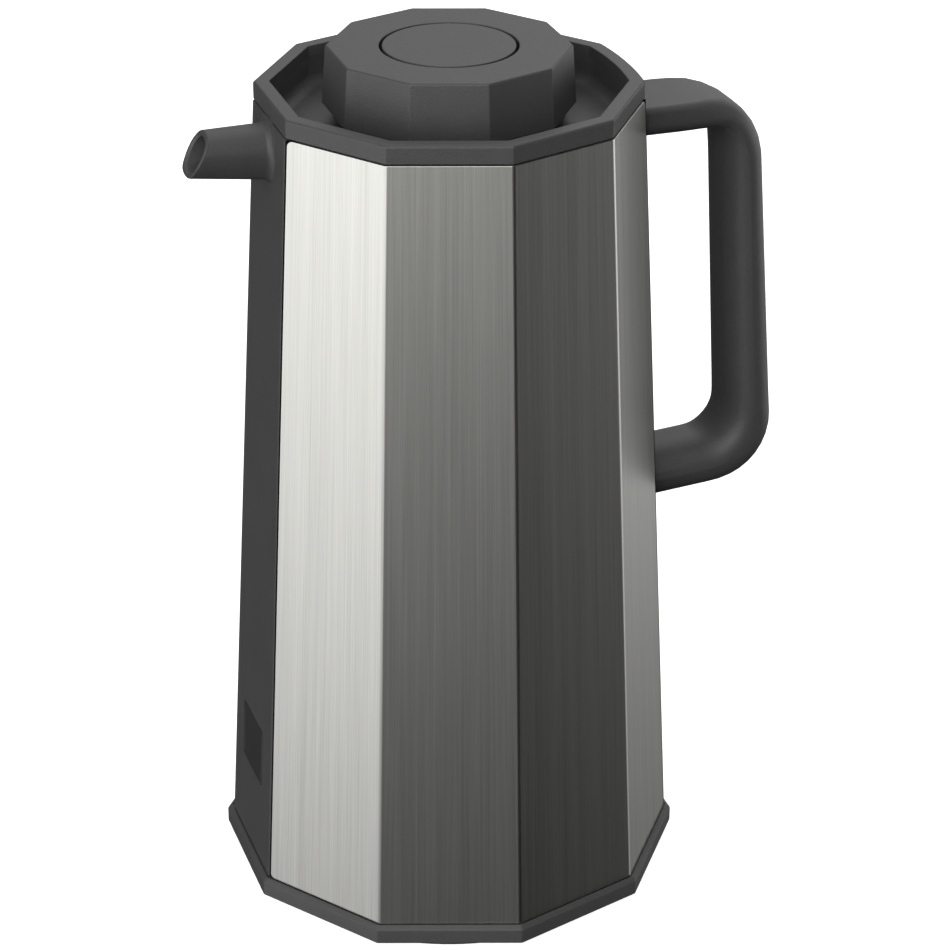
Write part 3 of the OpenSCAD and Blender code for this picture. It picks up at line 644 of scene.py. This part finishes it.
def push_button():
    """Round cap with a skirt and the boss that takes the valve stem."""
    top_t, skirt_t, edge, boss_r, boss_h = 2 * MM, 1.6 * MM, 0.3 * MM, 6 * MM, 6 * MM
    under = knob_top_z - top_t
    section = (
        arc(button_r - edge, knob_top_z - edge, edge, 90, 0, 3)
        + [(button_r, button_z), (button_r - skirt_t, button_z), (button_r - skirt_t, under)]
        + [(boss_r, under), (boss_r, under - boss_h), (stem_r, under - boss_h), (stem_r, under)]
    )
    obj = skin("button_cap", [round_ring(r, z) for r, z in section], wrap=False)
    dress(obj, "button", ["push_button"], stopper_grey)


def button_spring():
    """The coil under the button, given its own mesh; the share that stays as the button goes down
    is worked out but not applied.
    """
    low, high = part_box("button_spring")
    press = next(j for j in frame["record"]["behaviour"]["joints"] if j["name"] == "button_press")
    obj = softened("spring_coil", "button_spring", merge=False)
    dress(obj, "stopper", ["button_spring"], plain_steel)
    kept = 1 - press["range_m"][1] / (high.z - low.z)
    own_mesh(obj)


rim_ring()
neck_tray()
base_foot()
bottom_cover()
steel_panel("left")
steel_panel("right")
front_column()
rear_column()
badge()
handle()
knob()
push_button()
button_spring()

for node, slot_material in {
    "body_case": case_and_gap_shadow_black,
    "liner_cushion": black_rubber,
    "handle_screws": plain_steel,
    "column_screws": plain_steel,
    "spout_sleeve": seal_silicone,
    "mouth_gasket": seal_silicone,
    "flask_inner": flask_mirror,
    "flask_outer": flask_mirror,
    "flask_spacers": black_rubber,
    "flask_tip": flask_mirror,
    "stopper_gasket": seal_silicone,
    "stopper_body": stopper_grey,
    "stem_seal": black_rubber,
    "spring_seat": plain_steel,
    "valve_stem": plain_steel,
    "valve_disc": stopper_grey,
    "valve_gasket": seal_silicone,
    "valve_screw": plain_steel,
}.items():
    mesh = frame["nodes"][node].data
    mesh.materials.clear()
    mesh.materials.append(slot_material)


# ---- Studio ----


def polar(azimuth, elevation, distance):
    """Place at an azimuth from +X, counter-clockwise, and an elevation, in degrees."""
    a, e = math.radians(azimuth), math.radians(elevation)
    return Vector((math.cos(a) * math.cos(e), math.sin(a) * math.cos(e), math.sin(e))) * distance


# Each glow of the studio: azimuth, elevation, tightness and level
STUDIO_GLOWS = {
    "left_wall_low": (180, -18, 24, 1.1),
    "left_wall": (180, -4, 24, 1.25),
    "left_wall_high": (180, 20, 12, 0.8),
    "front_left_card": (216, -4, 24, 2.45),
    "front_softbox": (240, 20, 12, 2.9),
    "front_wall_low": (252, -12, 24, 0.05),
    "right_front_wall": (324, -12, 24, 0.06),
    "front_softbox_high": (240, 50, 8, 0.8),
    "right_card": (0, -4, 24, 1.6),
    "right_card_low": (0, -18, 24, 0.6),
    "right_rear_card": (36, -8, 24, 1.15),
    "rear_softbox": (60, 20, 12, 0.75),
    "rear_softbox_high": (60, 50, 8, 0.9),
    "rear_card_low": (72, -18, 24, 0.18),
    "rear_left_card_low": (108, -14, 24, 0.12),
    "ceiling": (0, 88, 6, 0.7),
}


def studio_world():
    """Dark room with soft glows on its walls and ceiling."""
    world = bpy.data.worlds.new("studio")
    world.use_nodes = True
    bpy.context.scene.world = world
    room = Shading(world.node_tree)
    way = room.node("ShaderNodeTexCoord", output="Generated")
    light = 0.0
    for azimuth, elevation, tightness, level in STUDIO_GLOWS.values():
        towards = room.node("ShaderNodeVectorMath", {"operation": "DOT_PRODUCT"},
                            {0: way, 1: polar(azimuth, elevation, 1)}, output="Value")
        facing = towards.math("MAXIMUM", towards, 0.0)
        light = light + facing.math("POWER", facing, tightness) * level
    white = (1, 1, 1, 1)
    background = room.node("ShaderNodeBackground", inputs={"Color": white, "Strength": light})
    room.finish("ShaderNodeOutputWorld", background)


def stage():
    """Pale floor that curves up into a backdrop all round."""
    radius, cove = 2.6, 0.9
    profile = [(0.02, 0)] + [(radius * k / 12, 0) for k in range(1, 9)]
    profile += arc(radius - cove, cove, cove, -90, 0, 9)
    profile += arc(0, cove, radius, 8, 88, 10)
    turns = [2 * math.pi * k / 64 for k in range(64)]
    rings = [[Vector((r * math.cos(t), r * math.sin(t), z)) for t in turns] for r, z in profile]
    obj = skin("stage_floor", rings, wrap=False)
    for face in obj.data.polygons:
        face.use_smooth = True
    floor = Finish("stage_paper")
    fibre = floor.noise(3 * MM, 2.0)
    floor.surface({
        "Base Color": floor.blend(fibre, grey(240), grey(244)),
        "Roughness": 0.9,
        "Specular IOR Level": 0.0,
        "Emission Color": (1, 1, 1, 1),
        "Emission Strength": 0.9,
    })
    obj.data.materials.append(floor.material)
    obj.visible_glossy = False
    obj.visible_diffuse = False
    obj.visible_shadow = False
    obj.visible_transmission = False


def camera():
    """Camera in front and above, looking down over the near side."""
    lens = bpy.data.cameras.new("camera")
    lens.sensor_width = 36
    lens.lens = 113.4
    lens.shift_x = 0.0273
    obj = bpy.data.objects.new("camera", lens)
    bpy.context.scene.collection.objects.link(obj)
    obj.location = (-0.2542, -0.7744, 0.5393)
    pitch = math.radians(26.8)
    heading = math.atan2(obj.location.x, -obj.location.y)
    obj.rotation_euler = (math.radians(90) - pitch, 0, heading)
    bpy.context.scene.camera = obj


stage()
studio_world()
camera()
bpy.context.scene.view_settings.view_transform = "Standard"
